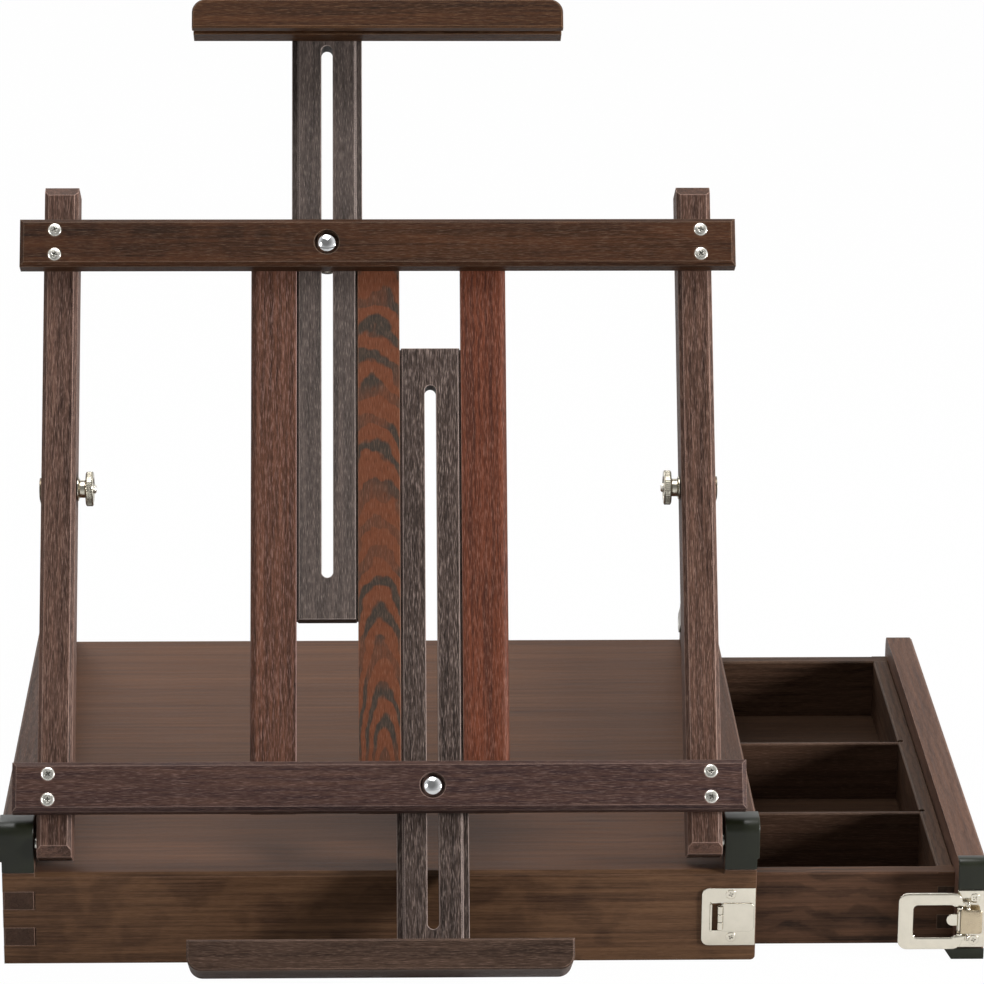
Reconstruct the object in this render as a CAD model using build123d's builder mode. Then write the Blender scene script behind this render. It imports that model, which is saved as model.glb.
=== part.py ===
from build123d import *
import os
from math import atan2, cos, hypot, radians, sin

# Table box easel: a shallow wooden box with raised sides, a drawer that pulls out to the right,
# and a leaning frame with two sliding masts that hold a canvas between a clamp bar and a tray.
# Millimetres, +X right, +Y back, +Z up. The origin is the middle of the case's underside.

os.makedirs("parts", exist_ok=True)

# Case
case_width = 400.0
case_depth = 365.0
deck_height = 51.5
side_height = 78.5
side_thickness = 17.2
wall_thickness = 12.5
deck_thickness = 6.0
deck_rebate = 10.0
floor_thickness = 3.0
edge_chamfer = 2.2
side_corner_radius = 8.0
side_edge_chamfer = 0.8
case_toe_radius = 2.5
finger_count = 5

# Drawer
drawer_pulled_out = 107.5
drawer_wall = 9.0
drawer_side_gap = 1.0
drawer_floor_gap = 0.3
drawer_top_gap = 1.2
drawer_end_gap = 2.3
drawer_floor = 3.0
drawer_floor_lift = 3.0
groove_depth = 3.0
divider_thickness = 3.0
divider_drop = 1.0
divider_edge_chamfer = 0.6
front_compartment = 78.0
middle_compartment = 104.0
face_thickness = 15.0
face_height = 55.2
face_lift = 0.8
face_front_gap = 0.3
face_back_inset = 6.5
face_corner_radius = 7.0
face_edge_chamfer = 1.2
drawer_edge_chamfer = 0.8

# Leaning frame
lean = 30.5
leg_width = 18.4
leg_depth = 26.8
leg_length = 367.0
leg_below_pivot = 8.3
leg_end_chamfer = 5.4
leg_heel_radius = 9.0
leg_gap = 1.7
fold_gap = 0.5
pivot_inset = 7.6
rail_length = 387.0
rail_height = 26.4
rail_thickness = 12.0
rail_chamfer = 2.2
lower_rail_up = 26.6
upper_rail_up = 323.4
guide_thickness = 12.0
centre_guide_width = 22.6
side_guide_width = 24.6
guide_end_inset = 1.5
guide_round = 4.0

# Masts, clamp bar and canvas tray
mast_lane = 33.0
mast_play = 0.7
mast_face_gap = 0.3
mast_thickness = 11.0
mast_edge_chamfer = 0.8
tongue_reach = 2.6
tongue_thickness = 4.0
tongue_setback = 3.6
tongue_play = 0.3
groove_spare = 0.4
slot_width = 6.2
upper_mast_foot = 118.0
upper_slot_foot = 140.7
upper_slot_head = 438.4
clamp_underside = 437.0
lower_mast_head = 267.0
lower_slot_foot = -48.0
lower_slot_head = 246.5
tray_top = -57.3
bar_length = 201.0
bar_height = 16.2
bar_web = 8.0
bar_rear_leg = 12.0
bar_leg_drop = 4.0
bar_mast_inset = 4.0
canvas_channel = 18.0
bar_lip = 6.0
bar_corner_radius = 7.5
bar_edge_chamfer = 0.8

# Bolts, nuts and screws
bolt_diameter = 5.6
bolt_head_diameter = 12.0
bolt_head_height = 2.6
bolt_head_crown = 7.0
head_recess_diameter = 13.6
head_recess_depth = 2.4
nut_disc_diameter = 18.6
nut_disc_sides = 24
nut_disc_thickness = 4.1
nut_neck_diameter = 9.6
side_nut_length = 9.0
rear_nut_length = 9.5
nut_play = 0.05
nut_gap = 0.1
bolt_spare = 1.5
side_bolt_up = 192.5
side_bolt_diameter = 5.0
screw_head_diameter = 7.0
screw_head_depth = 2.4
screw_play = 0.1
screw_pitch = 13.6
rail_screw_x = 174.6
pivot_pin_diameter = 6.0
pivot_pin_reach = 12.0
pivot_hole_spare = 0.5
pivot_play = 0.05

# Stays between the legs and the raised sides
stay_thickness = 1.1
stay_width = 12.0
stay_gap = 0.3
stay_slot_width = 6.0
stay_pivot_inset = 10.5
stay_rivet_diameter = 5.0
stay_rivet_reach = 10.0
stay_rivet_play = 0.05

# Corner guards
guard_thickness = 1.2
guard_length = 14.0
guard_round = 7.0
guard_foot_gap = 0.8
guard_cheek_foot = 58.5
guard_cheek_round = 5.0
face_guard_length = 6.0
face_guard_height = 17.0
face_guard_round = 4.0
face_guard_foot = 5.5
face_guard_sole = 0.6
face_guard_wing = 6.5
face_guard_wing_toe = 2.5

# Draw latch and its catch plate
plate_thickness = 1.0
plate_height = 32.8
catch_plate_width = 28.6
catch_plate_up = 25.2
catch_corner_radius = 4.0
catch_slot_width = 5.0
catch_slot_height = 15.5
catch_slot_inset = 5.4
catch_end_gap = 0.4
catch_flap_inset = 9.7
catch_flap_round = 2.5
catch_lip_thickness = 1.0
catch_lip_height = 1.6
catch_flap_width = 18.0
catch_flap_height = 16.0
catch_flap_rise = 1.0
latch_up = 23.4
lever_width = 13.4
lever_length = 11.9
lever_sheet = 0.9
lever_axis_out = 2.5
lever_axis_in = 1.0
lever_plate_start = 0.4
lever_rise = 1.2
ear_sheet = 1.0
ear_radius = 1.9
ear_gap = 0.3
latch_pin_diameter = 1.8
loop_pin_offset = 4.2
loop_length = 34.1
loop_tail = 2.9
loop_height = 32.0
loop_opening_length = 22.4
loop_opening_height = 18.6
loop_bar = 7.9
loop_sheet = 1.2
loop_corner_radius = 5.0
latch_play = 0.1
nose_radius = 3.3
nose_sheet = 0.5

loop_inner_radius = 2.5
plate_chamfer = 0.25
loop_lug_width = 2.6
loop_lug_gap = 0.4
lever_lug_radius = 1.5
lever_corner_radius = 1.5
nose_left = 2.5
nose_clear = 0.8
nose_foot = 2.0
nose_riser = 1.5

# Worked out from the sizes above
half_width = case_width / 2
half_depth = case_depth / 2
inner_x = half_width - side_thickness
inner_y = half_depth - wall_thickness
deck_underside = deck_height - deck_thickness
finger_height = deck_height / finger_count

drawer_half_depth = inner_y - drawer_side_gap
drawer_foot = floor_thickness + drawer_floor_gap
drawer_head = deck_underside - drawer_top_gap
drawer_right = half_width + drawer_pulled_out
drawer_length = half_width + inner_x - drawer_end_gap
drawer_left = drawer_right - drawer_length
drawer_floor_foot = drawer_foot + drawer_floor_lift
drawer_floor_head = drawer_floor_foot + drawer_floor
drawer_inner_y = drawer_half_depth - drawer_wall
front_divider_y = -drawer_inner_y + front_compartment + divider_thickness / 2
rear_divider_y = front_divider_y + middle_compartment + divider_thickness
face_right = drawer_right + face_thickness
face_front = -half_depth - face_front_gap
face_back = half_depth - face_back_inset
face_head = face_lift + face_height

leg_outer = inner_x - leg_gap
leg_inner = leg_outer - leg_width
leg_front = leg_depth / 2
leg_head = leg_length - leg_below_pivot
pivot_y = -half_depth + pivot_inset
pivot_z = deck_height + fold_gap + leg_depth / 2
rail_front = leg_front + rail_thickness
guide_back = leg_front - guide_thickness
mast_front = leg_front - mast_face_gap
mast_back = mast_front - mast_thickness
lane_x = (centre_guide_width + mast_lane) / 2
tongue_front = mast_front - tongue_setback
tongue_back = tongue_front - tongue_thickness
side_guide_x = centre_guide_width / 2 + mast_lane + side_guide_width / 2
bar_depth = bar_rear_leg + canvas_channel + bar_lip
lower_mast_foot = tray_top - bar_height + bar_mast_inset
upper_mast_head = clamp_underside + bar_height - bar_mast_inset

lean_sin = sin(radians(lean))
lean_cos = cos(radians(lean))
frame_plane = Plane(
    origin=(0, pivot_y, pivot_z), x_dir=(1, 0, 0), z_dir=(0, -lean_cos, lean_sin)
)

frame_up = Axis((0, pivot_y, pivot_z), (0, lean_sin, lean_cos))
frame_out = Axis((0, pivot_y, pivot_z), (0, -lean_cos, lean_sin))

side_bolt_y = pivot_y + side_bolt_up * lean_sin
side_bolt_z = pivot_z + side_bolt_up * lean_cos
stay_pivot_y = half_depth - stay_pivot_inset
stay_reach = hypot(stay_pivot_y - side_bolt_y, side_bolt_z - pivot_z)
stay_rise = atan2(side_bolt_z - pivot_z, stay_pivot_y - side_bolt_y)
stay_folded_reach = stay_pivot_y - pivot_y - side_bolt_up
stay_outer = inner_x - stay_gap
stay_inner = stay_outer - stay_thickness

latch_front = face_front - plate_thickness
catch_front = -half_depth - plate_thickness
catch_right = half_width - catch_end_gap
catch_left = catch_right - catch_plate_width
catch_slot_left = catch_left + catch_slot_inset
catch_flap_left = catch_left + catch_flap_inset
lever_axis_x = drawer_right + lever_axis_in
lever_axis_y = latch_front - lever_axis_out
loop_axis_x = lever_axis_x + loop_pin_offset
lever_half = lever_width / 2
ear_inner = lever_half + ear_gap
ear_outer = ear_inner + ear_sheet
lug_inner = ear_outer + loop_lug_gap
lug_outer = lug_inner + loop_lug_width
loop_right = loop_axis_x - loop_tail
loop_left = loop_right - loop_length


def slab(low, high, mode=Mode.ADD):
    """A box between its lowest and highest corners."""
    middle = tuple((a + b) / 2 for a, b in zip(low, high))
    size = tuple(b - a for a, b in zip(low, high))
    with Locations(middle):
        Box(*size, mode=mode)


def span(a, b):
    """Two values in rising order."""
    return (min(a, b), max(a, b))


def corner(outline, x, y):
    """The outline's corner nearest to a point of its own plane."""
    return outline.vertices().sort_by_distance((x, y, 0))[0]


def rod(plane, radius, length, mode=Mode.ADD):
    """A round rod that starts on a plane and runs along its normal."""
    with BuildSketch(plane) as section:
        Circle(radius)
    extrude(section.sketch, amount=length, mode=mode)


def frame_point(x, up, out):
    """A point of the leaning frame in the model's own axes."""
    return frame_plane.from_local_coords((x, up, out))


def frame_front(x, up, out):
    """A plane on the leaning frame that faces outwards."""
    return Plane(origin=frame_point(x, up, out), x_dir=(1, 0, 0), z_dir=frame_out.direction)


def frame_rear(x, up, out):
    """A plane on the leaning frame that faces backwards."""
    return Plane(origin=frame_point(x, up, out), x_dir=(1, 0, 0), z_dir=-frame_out.direction)


def frame_side(x):
    """A plane across the leaning frame: its own x runs up the legs, its y outwards."""
    return Plane(origin=frame_point(x, 0, 0), x_dir=frame_up.direction, z_dir=(1, 0, 0))


def board(x_span, up_span, out_span, mode=Mode.ADD):
    """A board on the leaning frame: across, up the legs, and out from the pivot."""
    with BuildSketch(frame_plane.offset(out_span[0])) as section:
        with Locations(((x_span[0] + x_span[1]) / 2, (up_span[0] + up_span[1]) / 2)):
            Rectangle(x_span[1] - x_span[0], up_span[1] - up_span[0])
    extrude(section.sketch, amount=out_span[1] - out_span[0], mode=mode)


def cone(plane, start, end, start_radius, end_radius, mode=Mode.ADD):
    """A round taper between two heights over a plane."""
    direction = 1 if end > start else -1
    with Locations(Plane(origin=plane.offset(start).origin, x_dir=plane.x_dir, z_dir=plane.z_dir * direction)):
        Cone(
            start_radius,
            end_radius,
            abs(end - start),
            align=(Align.CENTER, Align.CENTER, Align.MIN),
            mode=mode,
        )


def screw_head(plane):
    """A screw head, flush with the plane."""
    rod(plane, screw_head_diameter / 2, -screw_head_depth)


def screw_seat(plane):
    """The recess that such a head sits in."""
    rod(plane, screw_head_diameter / 2 + screw_play, -screw_head_depth, Mode.SUBTRACT)


def finish(builder, name):
    """Name a finished piece and write it."""
    builder.part.label = name
    export_step(builder.part, f"parts/{name}.step")


# Case: two finger-jointed walls, a raised left side, a rail over the drawer, a deck and a floor.
# The walls own the first, third and fifth finger and the left side the two between.


def case_finger(sign, place, mode=Mode.ADD):
    """One finger of the joint between the left side and the front (-1) or back (+1) wall."""
    near, far = span(sign * inner_y, sign * half_depth)
    slab(
        (-half_width, near, place * finger_height),
        (-inner_x, far, (place + 1) * finger_height),
        mode,
    )


for sign, name in ((-1, "case_front_wall"), (1, "case_back_wall")):
    near, far = span(sign * inner_y, sign * half_depth)
    rebate_near, rebate_far = span(sign * inner_y, sign * (inner_y + deck_rebate))
    with BuildPart() as wall:
        slab((-inner_x, near, 0), (inner_x, far, deck_height))
        top_edges = wall.edges().filter_by(Axis.X).group_by(Axis.Z)[-1]
        chamfer(top_edges.sort_by(Axis.Y)[0 if sign < 0 else -1], edge_chamfer)
        slab(
            (-inner_x, rebate_near, deck_underside),
            (inner_x, rebate_far, deck_height),
            Mode.SUBTRACT,
        )
        slab((inner_x, near, 0), (half_width, far, deck_height))
        fillet(wall.edges().filter_by(Axis.Y).sort_by_distance((half_width, 0, 0))[0], case_toe_radius)
        for place in range(0, finger_count, 2):
            case_finger(sign, place)
    finish(wall, name)

rivet_planes = [
    Plane(origin=(sign * stay_inner, stay_pivot_y, pivot_z), z_dir=(sign, 0, 0)) for sign in (-1, 1)
]
pivot_planes = [
    Plane(origin=(sign * half_width, pivot_y, pivot_z), z_dir=(-sign, 0, 0)) for sign in (-1, 1)
]


def side_outline(x, width, foot):
    """A raised side's outline in the YZ plane, pulled out across the case."""
    with BuildSketch(Plane.YZ.offset(x)) as outline:
        with BuildLine():
            Polyline(
                (-half_depth, foot),
                (half_depth, foot),
                (half_depth, side_height),
                (-half_depth, side_height),
                close=True,
            )
        make_face()
        fillet(corner(outline, half_depth, side_height), side_corner_radius)
        fillet(corner(outline, -half_depth, side_height), guard_round - guard_thickness)
    extrude(outline.sketch, amount=width)


def side_holes(sign):
    """The holes for the frame's pivot pin and the stay's rivet in a raised side."""
    pin_plane = pivot_planes[0 if sign < 0 else 1]
    rod(pin_plane, pivot_pin_diameter / 2 + pivot_play, side_thickness, Mode.SUBTRACT)
    rivet_plane = rivet_planes[0 if sign < 0 else 1]
    rod(
        rivet_plane.offset(stay_gap + stay_thickness),
        stay_rivet_diameter / 2 + pivot_play,
        stay_rivet_reach,
        Mode.SUBTRACT,
    )


with BuildPart() as left_side:
    side_outline(-half_width, side_thickness, 0)
    chamfer(left_side.edges().filter_by(Axis.Y).group_by(Axis.Z)[-1], side_edge_chamfer)
    for sign in (-1, 1):
        for place in range(0, finger_count, 2):
            case_finger(sign, place, Mode.SUBTRACT)
    side_holes(-1)
finish(left_side, "case_left_side")

with BuildPart() as right_rail:
    side_outline(inner_x, side_thickness, deck_height)
    chamfer(right_rail.edges().filter_by(Axis.Y).group_by(Axis.Z)[-1], side_edge_chamfer)
    slab((inner_x, -inner_y, deck_underside), (half_width, inner_y, deck_height))
    side_holes(1)
finish(right_rail, "case_right_rail")

with BuildPart() as top_panel:
    slab(
        (-inner_x, -inner_y - deck_rebate, deck_underside),
        (inner_x, inner_y + deck_rebate, deck_height),
    )
finish(top_panel, "case_top_panel")

with BuildPart() as bottom_panel:
    slab((-inner_x, -inner_y, 0), (half_width, inner_y, floor_thickness))
finish(bottom_panel, "case_bottom_panel")

# Plastic guards over the raised sides' front upper corners: a front plate, a top leg and an outer cheek.


def wrap_outline(front, top, foot, length, thickness):
    """A bent strip in the YZ plane over a front upper corner."""
    with BuildLine() as bend:
        Polyline(
            (front, foot),
            (front, top),
            (front + thickness + length, top),
            (front + thickness + length, top - thickness),
            (front + thickness, top - thickness),
            (front + thickness, foot),
            close=True,
        )
    make_face(bend.edges())


for sign, name in ((-1, "left_corner_guard"), (1, "right_corner_guard")):
    guard_front = -half_depth - guard_thickness
    guard_top = side_height + guard_thickness
    inner_side, outer_side = sign * inner_x, sign * half_width
    with BuildPart() as guard:
        with BuildSketch(Plane.YZ.offset(min(inner_side, outer_side))) as strip:
            wrap_outline(
                guard_front,
                guard_top,
                deck_height + guard_foot_gap,
                guard_length,
                guard_thickness,
            )
            fillet(corner(strip, guard_front, guard_top), guard_round)
            fillet(corner(strip, -half_depth, side_height), guard_round - guard_thickness)
        extrude(amount=side_thickness)
        with BuildSketch(Plane.YZ.offset(min(outer_side, outer_side + sign * guard_thickness))) as cheek:
            with BuildLine():
                Polyline(
                    (guard_front, guard_cheek_foot),
                    (guard_front, guard_top),
                    (guard_front + guard_thickness + guard_length, guard_top),
                    (guard_front + guard_thickness + guard_length, guard_cheek_foot),
                    close=True,
                )
            make_face()
            fillet(corner(cheek, guard_front, guard_top), guard_round)
            fillet(
                corner(cheek, guard_front + guard_thickness + guard_length, guard_cheek_foot),
                guard_cheek_round,
            )
        extrude(amount=guard_thickness)
    finish(guard, name)

with BuildPart() as catch_plate:
    with BuildSketch(Plane.XZ.offset(half_depth)) as outline:
        with Locations((catch_right - catch_plate_width / 2, catch_plate_up)):
            Rectangle(catch_plate_width, plate_height)
        for rise in (-plate_height / 2, plate_height / 2):
            fillet(corner(outline, catch_right - catch_plate_width, catch_plate_up + rise), catch_corner_radius)
        with Locations((catch_slot_left + catch_slot_width / 2, catch_plate_up)):
            Rectangle(catch_slot_width, catch_slot_height, mode=Mode.SUBTRACT)
    extrude(amount=plate_thickness)
    slab(
        (catch_slot_left - catch_lip_thickness, catch_front - catch_lip_height, catch_plate_up - catch_slot_height / 2),
        (catch_slot_left, -half_depth, catch_plate_up + catch_slot_height / 2),
    )
    with BuildSketch(Plane.XZ.offset(half_depth + plate_thickness)):
        with Locations((catch_flap_left + catch_flap_width / 2, catch_plate_up)):
            RectangleRounded(catch_flap_width, catch_flap_height, catch_flap_round)
    extrude(amount=catch_flap_rise)
finish(catch_plate, "catch_plate")

with BuildPart() as pivot_pins:
    for plane in pivot_planes:
        rod(plane, pivot_pin_diameter / 2, side_thickness + leg_gap + pivot_pin_reach)
finish(pivot_pins, "frame_pivot_pins")

with BuildPart() as stay_rivets:
    for plane in rivet_planes:
        rod(plane, stay_rivet_diameter / 2, stay_thickness + stay_gap + stay_rivet_reach)
finish(stay_rivets, "stay_rivets")

# Drawer: four finger-jointed walls round a grooved-in floor and two dividers.
drawer_finger_height = (drawer_head - drawer_foot) / finger_count
drawer_floor_span = (drawer_left + drawer_wall - groove_depth, drawer_right - drawer_wall + groove_depth)
divider_spans = [
    (y - divider_thickness / 2, y + divider_thickness / 2) for y in (front_divider_y, rear_divider_y)
]


def drawer_corner(x_sign, y_sign, places, mode):
    """Fingers of one drawer corner."""
    x_end = drawer_right if x_sign > 0 else drawer_left
    x_low, x_high = span(x_end, x_end - x_sign * drawer_wall)
    y_low, y_high = span(y_sign * drawer_half_depth, y_sign * drawer_inner_y)
    for place in places:
        slab(
            (x_low, y_low, drawer_foot + place * drawer_finger_height),
            (x_high, y_high, drawer_foot + (place + 1) * drawer_finger_height),
            mode,
        )


def drawer_floor_slab(mode=Mode.ADD):
    """The floor panel, or the grooves that hold it."""
    slab(
        (drawer_floor_span[0], -drawer_inner_y - groove_depth, drawer_floor_foot),
        (drawer_floor_span[1], drawer_inner_y + groove_depth, drawer_floor_head),
        mode,
    )


for sign, name in ((-1, "drawer_front_wall"), (1, "drawer_back_wall")):
    near, far = span(sign * drawer_inner_y, sign * drawer_half_depth)
    with BuildPart() as wall:
        slab(
            (drawer_left + drawer_wall, near, drawer_foot),
            (drawer_right - drawer_wall, far, drawer_head),
        )
        chamfer(wall.edges().filter_by(Axis.X).group_by(Axis.Z)[-1], drawer_edge_chamfer)
        for x_sign in (-1, 1):
            drawer_corner(x_sign, sign, range(0, finger_count, 2), Mode.ADD)
        drawer_floor_slab(Mode.SUBTRACT)
    finish(wall, name)

for sign, name in ((-1, "drawer_inner_end"), (1, "drawer_outer_end")):
    end = drawer_right if sign > 0 else drawer_left
    near, far = span(end, end - sign * drawer_wall)
    with BuildPart() as wall:
        slab((near, -drawer_inner_y, drawer_foot), (far, drawer_inner_y, drawer_head))
        chamfer(wall.edges().filter_by(Axis.Y).group_by(Axis.Z)[-1], drawer_edge_chamfer)
        for y_sign in (-1, 1):
            drawer_corner(sign, y_sign, range(1, finger_count, 2), Mode.ADD)
        drawer_floor_slab(Mode.SUBTRACT)
        for low_y, high_y in divider_spans:
            slab(
                (drawer_floor_span[0], low_y, drawer_floor_head),
                (drawer_floor_span[1], high_y, drawer_head),
                Mode.SUBTRACT,
            )
    finish(wall, name)

with BuildPart() as drawer_bottom:
    drawer_floor_slab()
finish(drawer_bottom, "drawer_bottom")

for (low_y, high_y), name in zip(divider_spans, ("drawer_divider_front", "drawer_divider_rear")):
    with BuildPart() as divider:
        slab(
            (drawer_floor_span[0], low_y, drawer_floor_head),
            (drawer_floor_span[1], high_y, drawer_head - divider_drop),
        )
        chamfer(divider.edges().filter_by(Axis.X).group_by(Axis.Z)[-1], divider_edge_chamfer)
    finish(divider, name)

with BuildPart() as face_panel:
    with BuildSketch(Plane.YZ.offset(drawer_right)) as outline:
        with BuildLine():
            Polyline(
                (face_front, face_lift),
                (face_back, face_lift),
                (face_back, face_head),
                (face_front, face_head),
                close=True,
            )
        make_face()
        for z in (face_lift, face_head):
            fillet(corner(outline, face_back, z), face_corner_radius)
        fillet(corner(outline, face_front, face_head), face_guard_round - guard_thickness)
    extrude(amount=face_thickness)
    chamfer(face_panel.faces().sort_by(Axis.X)[-1].edges(), face_edge_chamfer)
finish(face_panel, "drawer_face_panel")

face_guard_front = face_front - guard_thickness
face_guard_top = face_head + guard_thickness
with BuildPart() as upper_guard:
    with BuildSketch(Plane.YZ.offset(drawer_right)) as strip:
        wrap_outline(
            face_guard_front,
            face_guard_top,
            face_guard_top - face_guard_height,
            face_guard_length,
            guard_thickness,
        )
        fillet(corner(strip, face_guard_front, face_guard_top), face_guard_round)
        fillet(corner(strip, face_front, face_head), face_guard_round - guard_thickness)
    extrude(amount=face_thickness)
finish(upper_guard, "face_upper_guard")

with BuildPart() as lower_guard:
    with BuildSketch(Plane.XZ.offset(-face_front)):
        with BuildLine():
            Polyline(
                (drawer_right - face_guard_wing_toe, face_lift - face_guard_sole),
                (face_right, face_lift - face_guard_sole),
                (face_right, face_lift + face_guard_foot),
                (drawer_right - face_guard_wing, face_lift + face_guard_foot),
                close=True,
            )
        make_face()
    extrude(amount=guard_thickness)
    slab(
        (drawer_right, face_front, face_lift - face_guard_sole),
        (face_right, face_front + face_guard_length, face_lift),
    )
finish(lower_guard, "face_lower_guard")

# Draw latch: a plate with two ears, a lever on a pin between them and a loop on the lever.


with BuildPart() as latch_plate:
    slab(
        (drawer_right, latch_front, latch_up - plate_height / 2),
        (face_right, face_front, latch_up + plate_height / 2),
    )
    chamfer(latch_plate.faces().sort_by(Axis.Y)[0].edges(), plate_chamfer)
    for low in (-ear_outer, ear_inner):
        with BuildSketch(Plane.XY.offset(latch_up + low)):
            with Locations((lever_axis_x, lever_axis_y)):
                Circle(ear_radius)
            with Locations((lever_axis_x, (lever_axis_y + latch_front) / 2)):
                Rectangle(2 * ear_radius, lever_axis_out)
        extrude(amount=ear_sheet)
    with BuildSketch(Plane.XY.offset(latch_up - ear_inner)):
        with Locations((lever_axis_x, lever_axis_y)):
            Circle(latch_pin_diameter / 2)
    extrude(amount=2 * ear_inner)
    with BuildSketch(Plane.XZ.offset(-latch_front + nose_clear)):
        with Locations((drawer_right - nose_left, latch_up)):
            Circle(nose_radius)
        with Locations((drawer_right + (nose_foot - nose_left) / 2, latch_up)):
            Rectangle(nose_foot + nose_left, 2 * nose_radius)
    extrude(amount=nose_sheet)
    slab(
        (drawer_right + nose_foot - nose_riser, latch_front - nose_clear - nose_sheet, latch_up - nose_radius),
        (drawer_right + nose_foot, latch_front, latch_up + nose_radius),
    )
finish(latch_plate, "latch_plate")

lever_face = lever_axis_y - lever_rise - lever_sheet
with BuildPart() as lever:
    slab(
        (lever_axis_x + lever_plate_start, lever_face, latch_up - lever_half),
        (lever_axis_x + lever_length, lever_face + lever_sheet, latch_up + lever_half),
    )
    for z in (-lever_half, lever_half):
        far_edge = lever.edges().filter_by(Axis.Y).sort_by_distance(
            (lever_axis_x + lever_length, lever_face, latch_up + z)
        )[0]
        fillet(far_edge, lever_corner_radius)
    flange_right = loop_axis_x + lever_lug_radius
    for low in (-lever_half, lever_half - lever_sheet):
        with BuildSketch(Plane.XY.offset(latch_up + low)):
            with Locations(((lever_axis_x + loop_axis_x) / 2, lever_axis_y)):
                SlotCenterToCenter(loop_pin_offset, 2 * lever_lug_radius)
            with Locations(
                ((lever_axis_x + lever_plate_start + flange_right) / 2, (lever_face + lever_axis_y) / 2)
            ):
                Rectangle(flange_right - lever_axis_x - lever_plate_start, lever_axis_y - lever_face)
            with Locations((lever_axis_x, lever_axis_y), (loop_axis_x, lever_axis_y)):
                Circle(latch_pin_diameter / 2 + latch_play, mode=Mode.SUBTRACT)
        extrude(amount=lever_sheet)
finish(lever, "latch_lever")

with BuildPart() as loop:
    with BuildSketch(Plane.XZ.offset(-lever_axis_y - loop_sheet / 2)):
        with Locations(((loop_left + loop_right) / 2, latch_up)):
            RectangleRounded(loop_right - loop_left, loop_height, loop_corner_radius)
        with Locations((loop_left + loop_bar + loop_opening_length / 2, latch_up)):
            RectangleRounded(loop_opening_length, loop_opening_height, loop_inner_radius, mode=Mode.SUBTRACT)
        with Locations(((loop_right + loop_left + loop_bar + loop_opening_length) / 2, latch_up)):
            Rectangle(
                loop_right - loop_left - loop_bar - loop_opening_length + 2 * loop_inner_radius,
                2 * lug_inner,
                mode=Mode.SUBTRACT,
            )
    extrude(amount=loop_sheet)
    for low in (-lug_outer, lug_inner):
        with BuildSketch(Plane.XY.offset(latch_up + low)):
            with Locations((loop_axis_x, lever_axis_y)):
                Circle(lever_lug_radius)
            with Locations(((loop_right + loop_axis_x) / 2, lever_axis_y)):
                Rectangle(loop_axis_x - loop_right + loop_sheet, loop_sheet)
        extrude(amount=loop_lug_width)
    with BuildSketch(Plane.XY.offset(latch_up - lug_inner - loop_sheet)):
        with Locations((loop_axis_x, lever_axis_y)):
            Circle(latch_pin_diameter / 2)
    extrude(amount=2 * (lug_inner + loop_sheet))
finish(loop, "latch_loop")

# Leaning frame: two legs, two rails across their fronts and three grooved guides behind the rails.
rail_ups = (lower_rail_up, upper_rail_up)
rail_screw_planes = [
    frame_front(x, up + rise, rail_front)
    for up in rail_ups
    for x in (-rail_screw_x, rail_screw_x)
    for rise in (-screw_pitch / 2, screw_pitch / 2)
]
guide_centres = (-side_guide_x, 0.0, side_guide_x)
mast_bolt_points = ((-lane_x, upper_rail_up), (lane_x, lower_rail_up))

for sign, name in ((-1, "left_leg"), (1, "right_leg")):
    near, far = span(sign * leg_inner, sign * leg_outer)
    with BuildPart() as leg:
        with BuildSketch(frame_side(near)) as outline:
            with BuildLine():
                Polyline(
                    (-leg_below_pivot, -leg_front),
                    (leg_head, -leg_front),
                    (leg_head, leg_front),
                    (-leg_below_pivot, leg_front),
                    close=True,
                )
            make_face()
            fillet(corner(outline, -leg_below_pivot, -leg_front), leg_heel_radius)
            chamfer(corner(outline, -leg_below_pivot, leg_front), leg_end_chamfer)
            chamfer(corner(outline, leg_head, leg_front), leg_end_chamfer)
        extrude(amount=leg_width)
        chamfer(leg.edges().filter_by(frame_up).group_by(frame_out)[-1], rail_chamfer)
        rod(
            pivot_planes[0 if sign < 0 else 1].offset(side_thickness + leg_gap),
            pivot_pin_diameter / 2 + pivot_play,
            pivot_pin_reach + pivot_hole_spare,
            Mode.SUBTRACT,
        )
        rod(
            Plane(origin=(sign * leg_outer, side_bolt_y, side_bolt_z), z_dir=(-sign, 0, 0)),
            side_bolt_diameter / 2 + pivot_play,
            leg_width,
            Mode.SUBTRACT,
        )
    finish(leg, name)

for up, name in ((upper_rail_up, "upper_rail"), (lower_rail_up, "lower_rail")):
    with BuildPart() as rail:
        board(
            (-rail_length / 2, rail_length / 2),
            (up - rail_height / 2, up + rail_height / 2),
            (leg_front, rail_front),
        )
        chamfer(rail.faces().sort_by(frame_out)[-1].edges(), rail_chamfer)
        for plane in rail_screw_planes:
            if abs(frame_plane.to_local_coords(plane.origin).Y - up) < rail_height / 2:
                screw_seat(plane)
        for x, bolt_up in mast_bolt_points:
            if bolt_up == up:
                rod(frame_front(x, up, rail_front), head_recess_diameter / 2, -head_recess_depth, Mode.SUBTRACT)
                rod(frame_front(x, up, rail_front), bolt_diameter / 2 + pivot_play, -rail_thickness, Mode.SUBTRACT)
    finish(rail, name)

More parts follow.
